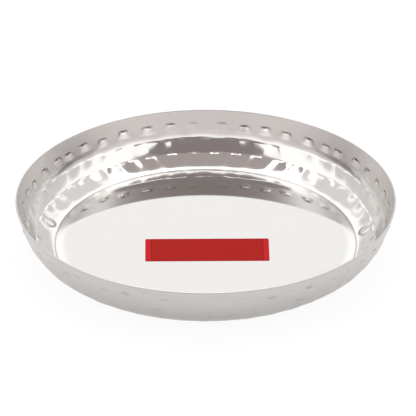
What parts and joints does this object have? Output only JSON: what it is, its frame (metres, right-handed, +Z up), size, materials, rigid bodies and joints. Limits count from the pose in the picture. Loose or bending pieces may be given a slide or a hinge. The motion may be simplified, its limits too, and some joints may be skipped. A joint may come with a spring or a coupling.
{
  "type": "snack plate",
  "caption": "Round shallow stainless-steel snack plate with a flat mirror-polished base, a curved hand-hammered wall, a plain rounded rim and a bare adhesive label on the base.",
  "frame": {"origin": "centre of the underside of the base, on the surface that the plate stands on", "axes": "+Z up along the dish's axis, +X to the right and -Y towards the viewer of the label"},
  "size_m": [0.15, 0.15, 0.0206],
  "materials": {
    "polished_steel": "mirror-polished base and hammered wall, satin rim band and outside",
    "label_film": "glossy red printed film, bare"
  },
  "bodies": {
    "root": {"dish": "polished_steel", "label": "label_film"}
  },
  "joints": []
}
